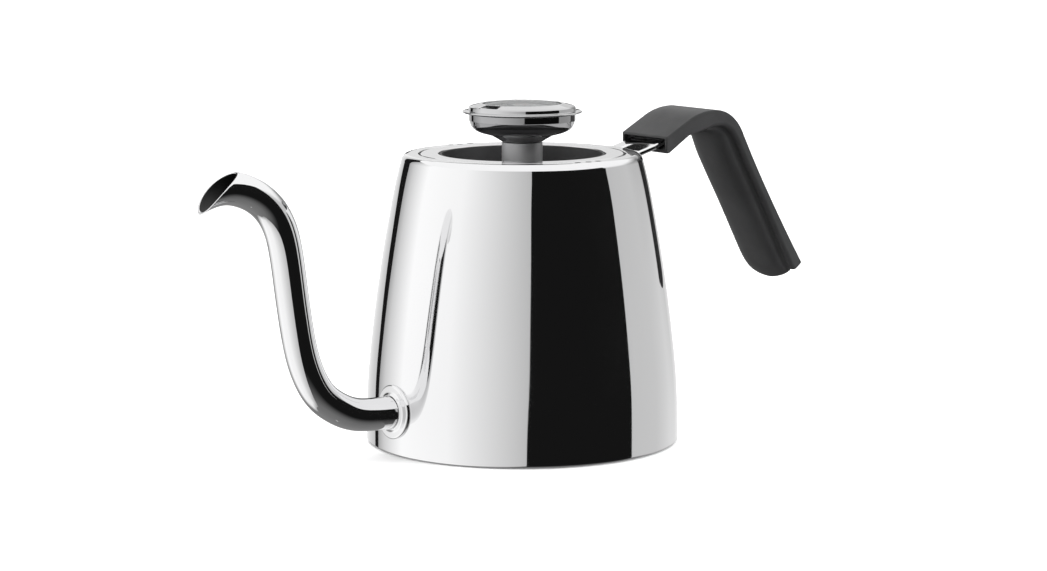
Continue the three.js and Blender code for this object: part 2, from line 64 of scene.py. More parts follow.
CAMERA_BEARING = 234.0  # degrees about Z from +X to the camera
CAMERA_PLACE = (-0.6897, -0.9493, 0.2384)
CAMERA_DOWN = 0.1475  # radians below level
CAMERA_LENS = 98.24


def add_camera():
    camera = bpy.data.objects.new("camera", bpy.data.cameras.new("camera"))
    camera.data.lens = CAMERA_LENS
    camera.data.sensor_width = 36.0
    camera.data.shift_x = 0.00124
    camera.location = CAMERA_PLACE
    camera.rotation_euler = Euler((math.pi / 2 - CAMERA_DOWN, 0.0, math.radians(CAMERA_BEARING - 270)))
    bpy.context.scene.collection.objects.link(camera)
    bpy.context.scene.camera = camera


# ---- Outlines ----


def corners(node):
    """The lowest and highest corner of a CAD node, in millimetres."""
    low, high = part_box(node)
    return low / MM, high / MM


def turned_size(node):
    """The outer radius, bottom and top of a CAD node that is turned about Z."""
    low, high = corners(node)
    return high.y, low.z, high.z


def rounded(points, steps=5):
    """A closed outline from corners (x, y) or (x, y, radius). Each arc has a holding point on
    both sides, so that flat stretches next to it stay flat when they are shaded smooth."""
    outline = []
    for i, point in enumerate(points):
        here = Vector(point[:2])
        if len(point) < 3:
            outline.append(here)
            continue
        before = (Vector(points[i - 1][:2]) - here).normalized()
        after = (Vector(points[(i + 1) % len(points)][:2]) - here).normalized()
        half = before.angle(after) / 2
        reach = point[2] / math.tan(half)
        centre = here + (before + after).normalized() * point[2] / math.sin(half)
        spoke = here + before * reach - centre
        turn = math.copysign(math.pi - 2 * half, before.cross(after))
        outline.append(here + before * (reach + HOLD))
        for step in range(steps + 1):
            angle = -turn * step / steps
            swung = Vector((
                spoke.x * math.cos(angle) - spoke.y * math.sin(angle),
                spoke.x * math.sin(angle) + spoke.y * math.cos(angle),
            ))
            outline.append(centre + swung)
        outline.append(here + after * (reach + HOLD))
    return outline


def smooth(points, steps):
    """Points spread evenly along a natural cubic spline through the given points."""
    knots = np.array(points, float)
    lengths = np.r_[0, np.cumsum(np.linalg.norm(np.diff(knots, axis=0), axis=1))]
    gaps = np.diff(lengths)
    count = len(knots)
    matrix = np.eye(count)
    rise = np.zeros_like(knots)
    for i in range(1, count - 1):
        matrix[i, i - 1:i + 2] = gaps[i - 1], 2 * (gaps[i - 1] + gaps[i]), gaps[i]
        rise[i] = 3 * ((knots[i + 1] - knots[i]) / gaps[i] - (knots[i] - knots[i - 1]) / gaps[i - 1])
    bend = np.linalg.solve(matrix, rise)
    slope = np.diff(knots, axis=0) / gaps[:, None] - gaps[:, None] * (2 * bend[:-1] + bend[1:]) / 3
    twist = np.diff(bend, axis=0) / (3 * gaps[:, None])
    out = []
    for at in np.linspace(0, lengths[-1], steps + 1):
        i = min(int(np.searchsorted(lengths, at, side="right")) - 1, count - 2)
        d = at - lengths[i]
        out.append(Vector(knots[i] + d * (slope[i] + d * (bend[i] + d * twist[i]))))
    return out


def smoothstep(value, low, high):
    """0 up to low, 1 from high on, and a soft rise between them."""
    share = min(max((value - low) / (high - low), 0), 1)
    return share * share * (3 - 2 * share)


def curve_to(start, control, end, steps):
    """Points of a quadratic curve after start, up to and with end."""
    out = []
    for step in range(1, steps + 1):
        t = step / steps
        a, b = Vector(start).lerp(Vector(control), t), Vector(control).lerp(Vector(end), t)
        out.append(a.lerp(b, t))
    return out


# ---- Meshes ----


def shade_smooth(mesh):
    """Shades a bmesh smooth, with sharp creases."""
    for face in mesh.faces:
        face.smooth = True
    for edge in mesh.edges:
        edge.smooth = len(edge.link_faces) != 2 or edge.calc_face_angle() < CREASE


def add_object(name, mesh):
    """Links a finished bmesh as a new object."""
    data = bpy.data.meshes.new(name)
    mesh.to_mesh(data)
    mesh.free()
    added = bpy.data.objects.new(name, data)
    bpy.context.scene.collection.objects.link(added)
    return added


def add_piece(name, mesh, material, body, replaced=()):
    """Links a bmesh in millimetres as a piece that rides on a body."""
    mesh.transform(Matrix.Scale(MM, 4))
    bmesh.ops.recalc_face_normals(mesh, faces=mesh.faces)
    shade_smooth(mesh)
    piece = add_object(name, mesh)
    piece.data.materials.append(material)
    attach(piece, body)
    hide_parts(*replaced)
    return piece


def add_faces(mesh, rows, closed_rows=True, closed_ends=False):
    """Joins rows of bmesh vertices of equal length into quads. A row of one vertex is a pole."""
    pairs = list(zip(rows, rows[1:]))
    if closed_ends:
        pairs.append((rows[-1], rows[0]))
    for low, high in pairs:
        count = max(len(low), len(high))
        for i in range(count if closed_rows else count - 1):
            j = (i + 1) % count
            ring = [low[i % len(low)], low[j % len(low)], high[j % len(high)], high[i % len(high)]]
            kept = [v for k, v in enumerate(ring) if v is not ring[k - 1]]
            if len(kept) > 2:
                mesh.faces.new(kept)


def circle(radius, z, steps):
    """Points around the axis, or the one on it when the radius is nothing."""
    if radius < 1e-6:
        return [Vector((0, 0, z))]
    angles = [2 * math.pi * i / steps for i in range(steps)]
    return [Vector((radius * math.cos(a), radius * math.sin(a), z)) for a in angles]


def turned(outline, steps=ROUND_STEPS):
    """A bmesh turned about Z from a closed outline of (radius, z) points."""
    mesh = bmesh.new()
    rows = [[mesh.verts.new(point) for point in circle(radius, z, steps)] for radius, z in outline]
    add_faces(mesh, rows, closed_ends=len(rows[0]) > 1 or len(rows[-1]) > 1)
    return mesh


def loft(rings, joined=False):
    """A bmesh skin through rings of points, each a closed loop of equal count. The last ring
    meets the first when joined, and otherwise both are capped."""
    mesh = bmesh.new()
    rows = [[mesh.verts.new(point) for point in ring] for ring in rings]
    add_faces(mesh, rows, closed_ends=joined)
    if not joined:
        mesh.faces.new(rows[0])
        mesh.faces.new(rows[-1])
    return mesh


def slab(outline, width, edge_round, steps):
    """A side view in the XZ plane made into a solid centred on y = 0. Its long edges are rounded
    to edge_round, a radius or a function that gives one for a point of the outline."""
    count = len(outline)
    area = sum(outline[i - 1].cross(outline[i]) for i in range(count))
    inward = []
    for i, here in enumerate(outline):
        sides = [(here - outline[i - 1]).normalized(), (outline[(i + 1) % count] - here).normalized()]
        normals = [Vector((-side.y, side.x)) * math.copysign(1, area) for side in sides]
        both = normals[0] + normals[1]
        inward.append(both / both.dot(normals[0]))
    radii = [edge_round(point) if callable(edge_round) else edge_round for point in outline]
    # How far in from the outline and how high up the rounded edge each ring lies, as shares of
    # the edge's radius. The first ring holds the flat side.
    levels = [(1 + 0.1 / max(radii), 1)]
    for step in range(steps + 1):
        angle = math.pi / 2 * step / steps
        levels.append((1 - math.sin(angle), math.cos(angle)))
    rings = []
    for inset, rise in levels:
        ring = []
        for point, normal, radius in zip(outline, inward, radii):
            flat = point + normal * radius * inset
            ring.append(Vector((flat.x, width / 2 - radius * (1 - rise), flat.y)))
        rings.append(ring)
    mirrored = [[Vector((x, -y, z)) for x, y, z in ring] for ring in reversed(rings)]
    return loft(rings + mirrored)


def cut(piece, *cutters):
    """Takes the cutters, as bmeshes in millimetres, out of a finished piece."""
    for cutter in cutters:
        cutter.transform(Matrix.Scale(MM, 4))
        bmesh.ops.recalc_face_normals(cutter, faces=cutter.faces)
        tool = add_object("cutter", cutter)
        modifier = piece.modifiers.new("cut", "BOOLEAN")
        modifier.object = tool
        modifier.operation = "DIFFERENCE"
        modifier.solver = "EXACT"
        bpy.context.view_layer.update()
        shown = piece.evaluated_get(bpy.context.evaluated_depsgraph_get())
        result = bpy.data.meshes.new_from_object(shown)
        piece.modifiers.clear()
        old, piece.data = piece.data, result
        bpy.data.meshes.remove(old)
        bpy.data.objects.remove(tool)
    fresh = bmesh.new()
    fresh.from_mesh(piece.data)
    shade_smooth(fresh)
    fresh.to_mesh(piece.data)
    fresh.free()


# ---- Materials ----


def add_node(tree, kind, inputs=None, **settings):
    """Adds a shader node. An input is a number, a colour or another node's output."""
    node = tree.nodes.new(kind)
    for key, value in settings.items():
        setattr(node, key, value)
    for key, value in (inputs or {}).items():
        if isinstance(value, bpy.types.NodeSocket):
            tree.links.new(value, node.inputs[key])
        else:
            node.inputs[key].default_value = value
    return node


def new_material(name, color, roughness, metallic=0.0):
    """A Principled material, its tree and its shader node."""
    material = bpy.data.materials.new(name)
    material.use_nodes = True
    shader = material.node_tree.nodes["Principled BSDF"]
    shader.inputs["Base Color"].default_value = (*color, 1)
    shader.inputs["Roughness"].default_value = roughness
    shader.inputs["Metallic"].default_value = metallic
    return material, material.node_tree, shader


def noise(tree, scale, detail=3.0):
    """A noise value in the piece's own metres."""
    place = add_node(tree, "ShaderNodeTexCoord").outputs["Object"]
    inputs = {"Vector": place, "Scale": scale, "Detail": detail}
    return add_node(tree, "ShaderNodeTexNoise", inputs).outputs["Fac"]


def spread(tree, value, low, high):
    """A value from low to high as the given value goes from 0.3 to 0.7, where most noise lies."""
    inputs = {"Value": value, "From Min": 0.3, "From Max": 0.7, "To Min": low, "To Max": high}
    return add_node(tree, "ShaderNodeMapRange", inputs).outputs["Result"]


def tint(tree, value, first, second):
    """A colour that goes from the first to the second as the given value goes from 0.3 to 0.7."""
    share = spread(tree, value, 0.0, 1.0)
    mix = add_node(tree, "ShaderNodeMix", data_type="RGBA")
    tree.links.new(share, mix.inputs["Factor"])
    mix.inputs["A"].default_value = (*first, 1)
    mix.inputs["B"].default_value = (*second, 1)
    return mix.outputs["Result"]


def bump(tree, shader, height, distance):
    """Shades the surface as if it rose by the height value times the distance, in metres."""
    normal = add_node(tree, "ShaderNodeBump", {"Height": height, "Distance": distance}).outputs["Normal"]
    tree.links.new(normal, shader.inputs["Normal"])


def polished_steel(name="polished_steel", bright=0.86):
    """Mirror steel with faint smudges and the slight ripple of pressed sheet."""
    material, tree, shader = new_material(name, (bright, bright, bright), 0.03, 1.0)
    smudge = noise(tree, 34.0, 4.0)
    tree.links.new(spread(tree, smudge, 0.022, 0.05), shader.inputs["Roughness"])
    dull, clear = [(level, level, level + 0.005) for level in (0.98 * bright, 1.02 * bright)]
    tree.links.new(tint(tree, noise(tree, 9.0), dull, clear), shader.inputs["Base Color"])
    bump(tree, shader, noise(tree, 45.0, 1.0), 2e-6)
    return material


def satin_steel(name="satin_steel", fineness=2600.0, rough=0.32):
    """Turned steel: fine rings around the axis, and soft stains."""
    material, tree, shader = new_material(name, (0.62, 0.62, 0.63), 0.3, 1.0)
    place = add_node(tree, "ShaderNodeTexCoord").outputs["Object"]
    flat = add_node(tree, "ShaderNodeVectorMath", {0: place, 1: (1, 1, 0)}, operation="MULTIPLY")
    radius = add_node(tree, "ShaderNodeVectorMath", {0: flat.outputs[0]}, operation="LENGTH")
    inputs = {"W": radius.outputs["Value"], "Scale": fineness, "Detail": 2.0}
    rings = add_node(tree, "ShaderNodeTexNoise", inputs, noise_dimensions="1D").outputs["Fac"]
    tree.links.new(spread(tree, rings, rough - 0.08, rough + 0.08), shader.inputs["Roughness"])
    tree.links.new(tint(tree, noise(tree, 30.0), (0.58, 0.58, 0.59), (0.68, 0.68, 0.685)),
                   shader.inputs["Base Color"])
    bump(tree, shader, rings, 4e-6)
    return material


def grained(name, dark, light, rough, grain=5200.0):
    """A matt surface with a fine grain and a slightly uneven sheen, such as moulded plastic."""
    material, tree, shader = new_material(name, dark, rough)
    tree.links.new(tint(tree, noise(tree, 60.0, 4.0), dark, light), shader.inputs["Base Color"])
    tree.links.new(spread(tree, noise(tree, 90.0, 3.0), rough - 0.04, rough + 0.05),
                   shader.inputs["Roughness"])
    bump(tree, shader, noise(tree, grain, 2.0), 1.2e-5)
    return material


def brass():
    material, tree, shader = new_material("brass", (0.62, 0.45, 0.2), 0.3, 1.0)
    tree.links.new(tint(tree, noise(tree, 400.0), (0.55, 0.38, 0.16), (0.7, 0.52, 0.26)),
                   shader.inputs["Base Color"])
    tree.links.new(spread(tree, noise(tree, 900.0), 0.22, 0.4), shader.inputs["Roughness"])
    return material


def lens_glass():
    """A thin clear lens that mostly lets the dark dial through, with faint smudges."""
    material, tree, shader = new_material("lens_glass", (0.4, 0.41, 0.41), 0.03)
    shader.inputs["Alpha"].default_value = 0.35
    shader.inputs["Specular IOR Level"].default_value = 0.15
    tree.links.new(spread(tree, noise(tree, 220.0), 0.02, 0.06), shader.inputs["Roughness"])
    return material


def dial_enamel():
    """Matt enamel with a faint spun texture, under the dial's marks."""
    material, tree, shader = new_material("dial_enamel", (0.03, 0.03, 0.032), 0.5)
    tree.links.new(tint(tree, noise(tree, 500.0), (0.026, 0.026, 0.028), (0.04, 0.04, 0.042)),
                   shader.inputs["Base Color"])
    bump(tree, shader, noise(tree, 3000.0), 4e-6)
    return material


def paint(name, dark, light):
    """Satin paint on the dial's print and the pointer."""
    material, tree, shader = new_material(name, dark, 0.45)
    tree.links.new(tint(tree, noise(tree, 700.0), dark, light), shader.inputs["Base Color"])
    tree.links.new(spread(tree, noise(tree, 1500.0), 0.38, 0.52), shader.inputs["Roughness"])
    return material


STEEL = polished_steel()
# The knob's rim is the same mirror steel made darker: painted shade on its reflections.
SHADED_RIM_STEEL = polished_steel("rim_steel_painted_shade", 0.6)
# The knob's bowl is the same mirror steel made darker: painted shade for its shaded underside.
SHADED_BOWL_STEEL = polished_steel("bowl_steel_painted_shade", 0.38)
SATIN = satin_steel()
STEM_STEEL = satin_steel("stem_steel", rough=0.55)
ALUMINIUM = satin_steel("aluminium", 1400.0)
NYLON = grained("black_nylon", (0.022, 0.022, 0.023), (0.03, 0.03, 0.031), 0.5)
WELL_NYLON = grained("grey_nylon", (0.028, 0.028, 0.029), (0.037, 0.037, 0.038), 0.55)
# Near black inside the spout: painted shade in the bore, much darker than its steel.
BORE_SHADE = grained("bore_painted_shade", (0.006, 0.006, 0.006), (0.01, 0.01, 0.01), 0.7, 2400.0)
SILICONE = grained("silicone", (0.045, 0.046, 0.048), (0.06, 0.061, 0.063), 0.62, 2400.0)
BRASS = brass()
GLASS = lens_glass()
ENAMEL = dial_enamel()
DIAL_WHITE = paint("dial_white", (0.78, 0.78, 0.76), (0.86, 0.86, 0.84))
POINTER_RED = paint("pointer_red", (0.5, 0.03, 0.02), (0.6, 0.05, 0.03))


# ---- Body ----

FOOT_RADIUS, _, COLLAR_TOP = turned_size("body_shell")
MOUTH_GAP = 0.7  # between the lid's ring and the mouth
MOUTH_RADIUS = turned_size("lid_plate")[0] + MOUTH_GAP
NECK_DEPTH = 2.8  # how far the rolled mouth reaches down
FOOT_LIFT = 0.3  # the base plate stands this far below the wall's foot
BASE_GAP = 0.7  # between the base plate's edge and the wall
# How far the wall has drawn in from the foot, and the height.
WALL_DRAW = [(0, 1.6), (0.6, 24), (2.6, 45), (6.0, 70.5), (10.3, 95.6), (13.8, 112.2), (14.9, 116.4)]
SHOULDER_RADIUS = FOOT_RADIUS - 15.7
VENT_RADIUS = 1.3
VENT_CIRCLE = 45.0  # radius of the circle that the vents lie on
VENT_PITCH = 6.5  # degrees between neighbours in a row of three
SPOUT_ROOT_Z = 18.0


def wall_line(inset, steps=64):
    """The wall's side view, moved towards the axis by the inset."""
    line = smooth([(FOOT_RADIUS - draw, z) for draw, z in WALL_DRAW], steps)
    return [Vector((radius - inset, z)) for radius, z in line]


def wall_radius(z):
    """The outer radius of the wall at a height."""
    line = wall_line(0)
    return float(np.interp(z, [p.y for p in line], [p.x for p in line]))


def body_outline():
    lip_radius = turned_size("base_cap")[0] + BASE_GAP
    neck_bottom = COLLAR_TOP - NECK_DEPTH
    return rounded([
        (lip_radius, FOOT_LIFT, 0.2),
        (FOOT_RADIUS, FOOT_LIFT, 0.9),
        *wall_line(0),
        (SHOULDER_RADIUS, COLLAR_TOP, 3.2),
        (MOUTH_RADIUS, COLLAR_TOP, 0.35),
        (MOUTH_RADIUS, neck_bottom, 0.2),
        (MOUTH_RADIUS + SHEET, neck_bottom, 0.2),
        (MOUTH_RADIUS + SHEET, COLLAR_TOP - SHEET, 0.2),
        (SHOULDER_RADIUS - SHEET, COLLAR_TOP - SHEET, 1.5),
        *reversed(wall_line(SHEET, 20)),
        (lip_radius, 1.4),
    ])


def drill(radius, depth, segments, place):
    """A cylinder to cut a hole with, put in its place by a matrix."""
    cylinder = bmesh.new()
    bmesh.ops.create_cone(
        cylinder, cap_ends=True, segments=segments, radius1=radius, radius2=radius, depth=depth
    )
    cylinder.transform(place)
    return cylinder


def vent(angle):
    centre = (VENT_CIRCLE * math.cos(angle), VENT_CIRCLE * math.sin(angle), COLLAR_TOP)
    return drill(VENT_RADIUS, 4 * SHEET, 24, Matrix.Translation(centre))


def spout_hole():
    lying = Matrix.Translation(HOLE_MIDDLE) @ Matrix.Rotation(math.pi / 2, 4, "Y")
    return drill(SPOUT_BORE, HOLE_DEPTH, 48, lying)


def add_body():
    shell = add_piece("body_wall", turned(body_outline()), STEEL, "kettle", ["body_shell"])
    vents = [math.radians(middle + place * VENT_PITCH) for middle in (90, 270) for place in (-1, 0, 1)]
    cut(shell, spout_hole(), *[vent(angle) for angle in vents])


def add_lid_seat():
    outer, bottom, top = turned_size("lid_seat_ring")
    inner = turned_size("lid_liner")[0] + 1.6
    outline = rounded([
        (inner, bottom, 0.3), (inner + SHEET, bottom, 0.3), (inner + SHEET, top - SHEET),
        (outer, top - SHEET), (outer, top), (inner, top, 0.6),
    ])
    add_piece("lid_seat", turned(outline), SATIN, "kettle", ["lid_seat_ring"])


def add_base():
    for name, node, material, slot in (
        ("base_plate", "base_cap", SATIN, "satin_steel"),
        ("spreader_disc", "heat_spreader", ALUMINIUM, "aluminium_core"),
        ("inner_floor", "floor_pan", SATIN, "satin_steel"),
    ):
        radius, bottom, top = turned_size(node)
        outline = rounded([(0, bottom), (radius, bottom, 0.35), (radius, top, 0.25), (0, top)])
        add_piece(name, turned(outline), material, "kettle", [node])


# ---- Spout ----

SPOUT_RADIUS = corners("spout_tube")[1].y
SPOUT_WALL = 0.8
SPOUT_BORE = SPOUT_RADIUS - SPOUT_WALL
HOLE_MIDDLE = Vector((-62, 0, SPOUT_ROOT_Z))  # of the cylinder that opens the body into the spout
HOLE_DEPTH = 14
LIP_STEPS = 6  # facets around the mouth's rounded edge
# Distance from the kettle's axis and height, from the root to just past the mouth.
SPOUT_LINE = [
    (60, 17.6), (74, 18.2), (84.5, 19.6), (92, 23), (98.5, 28), (103.2, 34.8), (107.2, 45), (109.9, 57.9),
    (112, 72), (114.1, 86.5), (116.6, 96.3), (120.6, 103.6), (126.6, 109.2), (133.5, 112.6), (141, 114.1),
    (148.6, 113.1), (155.5, 110.4), (161, 107),
]
SPOUT_STATIONS = 220
SPOUT_SIDES = 64
COLLAR_SIDES = 96
MOUTH_TOP = Vector((-136.1, 119.9))  # (x, z) where the cut starts on top
MOUTH_TIP = Vector((-152.2, 104.9))
MOUTH_BULGE = 1.5  # how far the mouth's rim rises above the chord from top to tip
SPREAD_STATIONS = 120  # stations before the mouth that close up or open out to meet the cut


def spout_frames():
    """(point, normal) at each station of the middle line, in the XZ plane."""
    line = [Vector((-x, z)) for x, z in smooth(SPOUT_LINE, SPOUT_STATIONS)]
    frames = []
    for i, point in enumerate(line):
        along = (line[min(i + 1, len(line) - 1)] - line[max(i - 1, 0)]).normalized()
        frames.append((point, Vector((along.y, -along.x))))
    return frames


def mouth_centre():
    """The centre and radius of the arc that cuts the mouth, seen from the side."""
    chord = MOUTH_TIP - MOUTH_TOP
    half = chord.length / 2
    radius = (half * half + MOUTH_BULGE * MOUTH_BULGE) / (2 * MOUTH_BULGE)
    inward = Vector((-chord.y, chord.x)).normalized()
    return (MOUTH_TOP + MOUTH_TIP) / 2 + inward * (radius - MOUTH_BULGE), radius


def station_of_mouth(frames, angle, radius):
    """The fractional station where a line along the tube at an angle meets the mouth's cut."""
    centre, reach = mouth_centre()
    side = radius * math.cos(angle)
    last = None
    for i, (point, normal) in enumerate(frames):
        gap = (point + normal * side - centre).length - reach
        if last is not None and last < 0 <= gap:
            return i - 1 + last / (last - gap)
        last = gap
    return len(frames) - 1


def tube_point(frames, station, angle, radius):
    """The point at an angle around the tube, at a fractional station."""
    i = min(int(station), len(frames) - 2)
    share = station - i
    point = frames[i][0].lerp(frames[i + 1][0], share)
    normal = frames[i][1].lerp(frames[i + 1][1], share).normalized()
    flat = point + normal * radius * math.cos(angle)
    return Vector((flat.x, radius * math.sin(angle), flat.y))


def tube_ring(frames, share, radius, pull):
    """A ring of points at a share of the way from the root to where it ends, which is pull
    stations before the mouth's cut."""
    ring = []
    level = share * (len(frames) - 1)
    parted = len(frames) - 1 - SPREAD_STATIONS
    for side in range(SPOUT_SIDES):
        angle = 2 * math.pi * side / SPOUT_SIDES
        station = level
        if level > parted:
            end = station_of_mouth(frames, angle, radius) - pull
            station = parted + (level - parted) / SPREAD_STATIONS * (end - parted)
        ring.append(tube_point(frames, station, angle, radius))
    return ring


def add_spout_tube():
    """The tube with its slanted mouth: polished outside and over the lip, dull and near black in the bore,
    which is painted shade.
    """
    frames = spout_frames()
    length = sum((b[0] - a[0]).length for a, b in zip(frames, frames[1:]))
    per_mm = (len(frames) - 1) / length
    shares = [i / (SPOUT_STATIONS - 1) for i in range(SPOUT_STATIONS)]
    lip = SPOUT_WALL / 2  # radius of the mouth's rounded edge
    rings = [tube_ring(frames, share, SPOUT_RADIUS, lip * per_mm) for share in shares]
    for step in range(1, LIP_STEPS):
        angle = math.pi * step / LIP_STEPS
        radius = SPOUT_BORE + lip + lip * math.cos(angle)
        rings.append(tube_ring(frames, 1.0, radius, lip * (1 - math.sin(angle)) * per_mm))
    polished_faces = SPOUT_SIDES * (len(rings) - 1)
    rings += [tube_ring(frames, share, SPOUT_BORE, lip * per_mm) for share in reversed(shares[::2])]
    mesh = loft(rings, joined=True)
    mesh.faces.ensure_lookup_table()
    for face in mesh.faces[polished_faces:]:
        face.material_index = 1
    tube = add_piece("spout", mesh, STEEL, "kettle", ["spout_tube"])
    # The bore's faces get the near-black material: painted shade inside the tube.
    tube.data.materials.append(BORE_SHADE)
    cut(tube, turned(envelope_outline(), 96))


def envelope_outline():
    """The space that the body fills, with a hair's gap."""
    wall = wall_line(-0.15, 24)
    return [(0, -1), (wall[0].x, -1), *wall, (SHOULDER_RADIUS - 1.2, COLLAR_TOP), (0, COLLAR_TOP)]


def add_spout_flange():
    """A pressed collar that hugs the wall around the spout's root."""
    inner, outer = SPOUT_RADIUS + 0.12, corners("spout_flange")[1].y
    section = rounded([
        (inner, 0.05), (outer, 0.05, 0.1), (outer, 1.5, 0.75), (outer - 2.9, 1.25, 1.2),
        (inner + 0.3, 2.0, 0.4), (inner, 2.0, 0.1),
    ], steps=6)
    rings = []
    for reach, proud in section:
        ring = []
        for side in range(COLLAR_SIDES):
            angle = 2 * math.pi * side / COLLAR_SIDES
            y, z = reach * math.cos(angle), SPOUT_ROOT_Z + reach * math.sin(angle)
            ring.append(Vector((-math.sqrt(wall_radius(z) ** 2 - y * y) - proud, y, z)))
        rings.append(ring)
    mesh = loft(rings, joined=True)
    add_piece("spout_collar", mesh, STEEL, "kettle", ["spout_flange"])


# ---- Handle ----

HANDLE_WIDTH = corners("handle_cover")[1].y * 2
COVER_ROUND = 0.5
GRIP_SIDE_ROUND = 1.8  # radius of the cover's edges beside the grip
BRACKET_WIDTH = corners("handle_bracket")[1].y * 2
BRACKET_THICK = 2.4
BRACKET_ROUND = 0.9
TANG_START = Vector((64.0, 119.6))
TANG_END = Vector((84.0, 128.8))
# Side view of the handle, as (x, z): the seam between cover and grip, and the cover's back, where
# every second point is the control point of a curve between its neighbours.
SEAM = [
    (90.0, 126.2), (96.5, 126.0), (100.6, 123.2), (104.2, 117.4), (117.0, 94.6), (129.6, 71.6),
    (136.2, 59.9),
]
SEAM_STEPS = 40
COVER_BACK = [
    (75.2, 129.5), (81.8, 133.5), (90.0, 133.6), (100.2, 133.6), (105.8, 124.2), (117.6, 100.4),
    (140.6, 64.4),
]
GRIP_HALF_WIDTH = corners("handle_grip")[1].y - 2.6  # of its oval, between the soft feet
GRIP_DEPTH = 6.9
GRIP_FLARE = 2.2  # height of the soft foot along the grip's sides
GRIP_SPREAD = 1.5  # how far that foot reaches out to each side
GRIP_ARC_STEPS = 26
GRIP_STATIONS = 90
GRIP_END = Vector((137.9, 56.9))
GRIP_TONGUE = 4.6  # how far the middle of the grip reaches past its sides at the end
TONGUE_START = 0.8  # share of the grip's length
GRIP_END_ROUND = 16.0  # how far from its end the grip starts to round off


def strap_outline(grow):
    """Side view of the strap from the shoulder up into the handle, made thicker by twice grow."""
    half = BRACKET_THICK / 2 + grow
    up = Vector((0, half))
    line = [Vector((46.0, 116.9)), Vector((52.5, 116.4)), TANG_START, TANG_END]
    above = [line[0] + up, (*(line[1] + up), 4.0), (*(line[2] + up), 6.0), (*(line[3] + up), 0.3)]
    below = [(*(line[3] - up), 0.3), (*(line[2] - up), 6.0), (*(line[1] - up), 4.0), line[0] - up]
    return rounded([*above, *below], steps=6)


def add_bracket():
    solid = slab(strap_outline(0), BRACKET_WIDTH, BRACKET_ROUND, 5)
    strap = add_piece("handle_strap", solid, STEEL, "kettle", ["handle_bracket"])
    cut(strap, turned(envelope_outline()))


def cover_outline():
    """The cover's front end, its back, its lower end and the seam."""
    back = COVER_BACK[:1]
    for i, steps in ((0, 14), (2, 22), (4, 40)):
        back += curve_to(*COVER_BACK[i:i + 3], steps)
    seam = smooth(SEAM, SEAM_STEPS)[::-1]
    return rounded([
        (64.2, 116.2, 0.7), (64.2, 123.4, 0.7), *back[:-3], (141.0, 63.8, 1.0), (*seam[0], 1.9), *seam[4:-1],
        (*SEAM[0], 1.2), (76.6, 123.4, 3.0), (66.0, 116.6, 1.0),
    ], steps=6)


def cover_round(point):
    """The cover's edges are crisp, apart from a soft round beside the grip."""
    line = smooth(SEAM, SEAM_STEPS)
    beside = 1 - smoothstep(min((point - at).length for at in line), 0, 3)
    return COVER_ROUND + (GRIP_SIDE_ROUND - COVER_ROUND) * beside


def pocket():
    """The hollow in the cover's front end that the strap comes out of."""
    outline = rounded([(63, 117.3), (66.8, 119.1, 0.5), (66.8, 123.4, 0.5), (63, 122.2)])
    return slab(outline, HANDLE_WIDTH - 2.6, 0.4, 2)


def add_cover():
    shell = slab(cover_outline(), HANDLE_WIDTH, cover_round, 5)
    cover = add_piece("handle_shell", shell, NYLON, "kettle", ["handle_cover"])
    cut(cover, pocket(), slab(strap_outline(0.25), BRACKET_WIDTH + 0.5, 0.2, 2))


def grip_section(at, along, depth, half_width, foot, tongue):
    """Half an oval on a soft foot that spreads towards the cover's edges. The sides fall back
    from the middle by tongue."""
    inward = Vector((along.y, -along.x))
    edge = Vector((half_width + GRIP_SPREAD, 0.04))
    near_foot = [edge, *curve_to(edge, (half_width + 0.2, 0.1), (half_width, foot), 6)]
    line = list(near_foot)
    for i in range(1, GRIP_ARC_STEPS):
        angle = math.pi * i / GRIP_ARC_STEPS
        line.append(Vector((half_width * math.cos(angle), foot + (depth - foot) * math.sin(angle))))
    line += [Vector((-side, reach)) for side, reach in reversed(near_foot)]
    points = []
    for side, reach in line:
        flat = at + inward * reach - along * tongue * (side / edge.x) ** 2
        points.append(Vector((flat.x, side, flat.y)))
    return points


def add_grip():
    """The soft inner grip, swelling out of the cover near the bend and rounded off at its end."""
    line = smooth([*SEAM[:-1], GRIP_END], GRIP_STATIONS)
    length = sum((b - a).length for a, b in zip(line, line[1:]))
    rings = []
    for i, at in enumerate(line):
        t = i / GRIP_STATIONS
        along = (line[min(i + 1, GRIP_STATIONS)] - line[max(i - 1, 0)]).normalized()
        swell = smoothstep(t, -0.2, 0.25)
        past = max(0, 1 - length * (1 - t) / GRIP_END_ROUND)
        rounding = math.sqrt(max(0, 1 - past * past))
        height = swell * (0.06 + 0.94 * rounding)
        half_width = GRIP_HALF_WIDTH * (0.9 + 0.1 * swell) * (1.06 - 0.06 * rounding)
        tongue = GRIP_TONGUE * max(0, (t - TONGUE_START) / (1 - TONGUE_START)) ** 2
        rings.append(grip_section(at, along, GRIP_DEPTH * height, half_width, GRIP_FLARE * height, tongue))
    add_piece("handle_inner_grip", loft(rings), NYLON, "kettle", ["handle_grip"])


# ---- Lid ----


def add_lid_plate():
    radius, bottom, top = turned_size("lid_plate")
    inner = turned_size("lid_well")[0] + GAP
    outline = rounded([
        (inner, top - SHEET, 0.2), (inner, top, 0.3), (radius, top, 0.4), (radius, bottom, 0.2),
        (radius - SHEET, bottom, 0.2), (radius - SHEET, top - SHEET, 0.5),
    ][::-1])
    add_piece("lid_ring", turned(outline), STEEL, "lid", ["lid_plate"])


def add_lid_well():
    radius, bottom, top = turned_size("lid_well")
    hole = SPIGOT_RADIUS + GAP
    outline = rounded([
        (hole, bottom, 0.1), (radius - 1.4, bottom, 0.8), (radius, bottom + 1.8, 0.8), (radius, top, 0.3),
        (radius - 1.0, top, 0.3), (radius - 2.0, bottom + 1.2, 1.2), (hole, bottom + 1.2, 0.1),
    ])
    add_piece("lid_dish", turned(outline), WELL_NYLON, "lid", ["lid_well"])


